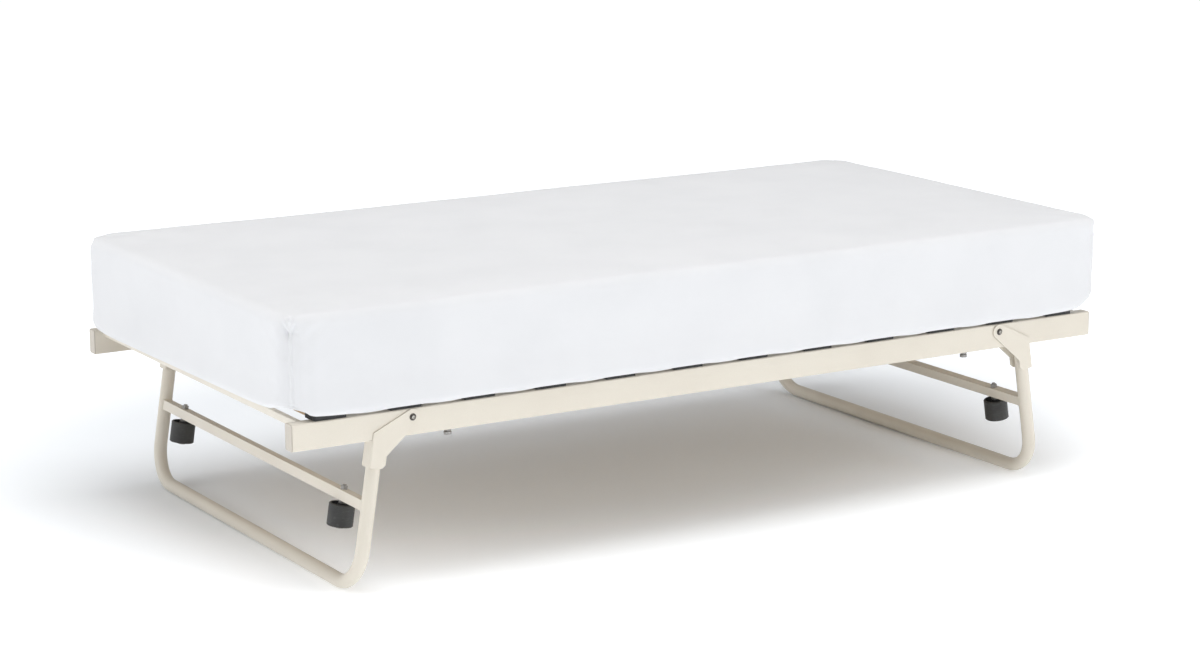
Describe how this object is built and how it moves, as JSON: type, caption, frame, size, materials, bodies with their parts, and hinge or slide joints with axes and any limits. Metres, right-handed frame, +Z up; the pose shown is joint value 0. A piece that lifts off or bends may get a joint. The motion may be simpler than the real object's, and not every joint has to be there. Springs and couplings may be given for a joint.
{
  "type": "trundle bed",
  "caption": "Low steel trundle bed with sprung slats, leg frames that fold under it, rollers for pulling it out, and a mattress in a white fitted sheet.",
  "frame": {"origin": "point on the floor under the centre of the bed, at the middle of its length and width", "axes": "+X along the bed's length towards the foot end, +Y across it towards the back rail, +Z up"},
  "size_m": [1.945, 1.0036, 0.5578],
  "materials": {
    "ivory_steel": "satin",
    "ivory_plastic": "satin",
    "zinc_steel": "satin",
    "slat_wood": "satin",
    "cap_rubber": "matte",
    "roller_plastic": "matte",
    "mattress_cover": "matte",
    "sheet_cotton": "matte"
  },
  "bodies": {
    "frame": {"front_side_rail": "ivory_steel", "back_side_rail": "ivory_steel", "head_end_rail": "ivory_steel", "foot_end_rail": "ivory_steel", "rail_end_plugs": "ivory_plastic", "slat_01": "slat_wood", "slat_02": "slat_wood", "slat_03": "slat_wood", "slat_04": "slat_wood", "slat_05": "slat_wood", "slat_06": "slat_wood", "slat_07": "slat_wood", "slat_08": "slat_wood", "slat_09": "slat_wood", "slat_10": "slat_wood", "slat_11": "slat_wood", "slat_12": "slat_wood", "slat_caps_01": "cap_rubber", "slat_caps_02": "cap_rubber", "slat_caps_03": "cap_rubber", "slat_caps_04": "cap_rubber", "slat_caps_05": "cap_rubber", "slat_caps_06": "cap_rubber", "slat_caps_07": "cap_rubber", "slat_caps_08": "cap_rubber", "slat_caps_09": "cap_rubber", "slat_caps_10": "cap_rubber", "slat_caps_11": "cap_rubber", "slat_caps_12": "cap_rubber", "head_pivot_bolts": "zinc_steel", "foot_pivot_bolts": "zinc_steel", "pivot_nuts": "zinc_steel", "pivot_spacers": "zinc_steel", "fold_stop_screws": "zinc_steel", "fold_stop_nuts": "zinc_steel"},
    "head_leg": {"head_leg_tube": "ivory_steel", "head_cross_bar": "ivory_steel", "head_bracket_front": "ivory_steel", "head_bracket_back": "ivory_steel", "head_axle_bolts": "zinc_steel", "head_axle_spacers": "zinc_steel", "head_axle_nuts": "zinc_steel"},
    "foot_leg": {"foot_leg_tube": "ivory_steel", "foot_cross_bar": "ivory_steel", "foot_bracket_front": "ivory_steel", "foot_bracket_back": "ivory_steel", "foot_axle_bolts": "zinc_steel", "foot_axle_spacers": "zinc_steel", "foot_axle_nuts": "zinc_steel"},
    "head_front_roller": {"head_roller_front": "roller_plastic"},
    "head_back_roller": {"head_roller_back": "roller_plastic"},
    "foot_front_roller": {"foot_roller_front": "roller_plastic"},
    "foot_back_roller": {"foot_roller_back": "roller_plastic"},
    "bedding": {"mattress": "mattress_cover", "fitted_sheet": "sheet_cotton"}
  },
  "joints": [
    {"name": "head_leg_fold", "type": "hinge", "parent": "frame", "child": "head_leg", "pos_m": [-0.7025, 0, 0.34], "axis": [0, -1, 0], "range_deg": [0, 99]},
    {"name": "foot_leg_fold", "type": "hinge", "parent": "frame", "child": "foot_leg", "pos_m": [0.7025, 0, 0.34], "axis": [0, 1, 0], "range_deg": [0, 99]},
    {"name": "head_front_roller_spin", "type": "hinge", "parent": "head_leg", "child": "head_front_roller", "pos_m": [-0.79802, -0.377, 0.13321], "axis": [0.1564, 0, 0.9877], "continuous": true},
    {"name": "head_back_roller_spin", "type": "hinge", "parent": "head_leg", "child": "head_back_roller", "pos_m": [-0.79802, 0.377, 0.13321], "axis": [0.1564, 0, 0.9877], "continuous": true},
    {"name": "foot_front_roller_spin", "type": "hinge", "parent": "foot_leg", "child": "foot_front_roller", "pos_m": [0.79802, -0.377, 0.13321], "axis": [-0.1564, 0, 0.9877], "continuous": true},
    {"name": "foot_back_roller_spin", "type": "hinge", "parent": "foot_leg", "child": "foot_back_roller", "pos_m": [0.79802, 0.377, 0.13321], "axis": [-0.1564, 0, 0.9877], "continuous": true},
    {"name": "bedding_lift", "type": "slide", "parent": "frame", "child": "bedding", "axis": [0, 0, 1], "range_m": [0, 0.3]}
  ]
}
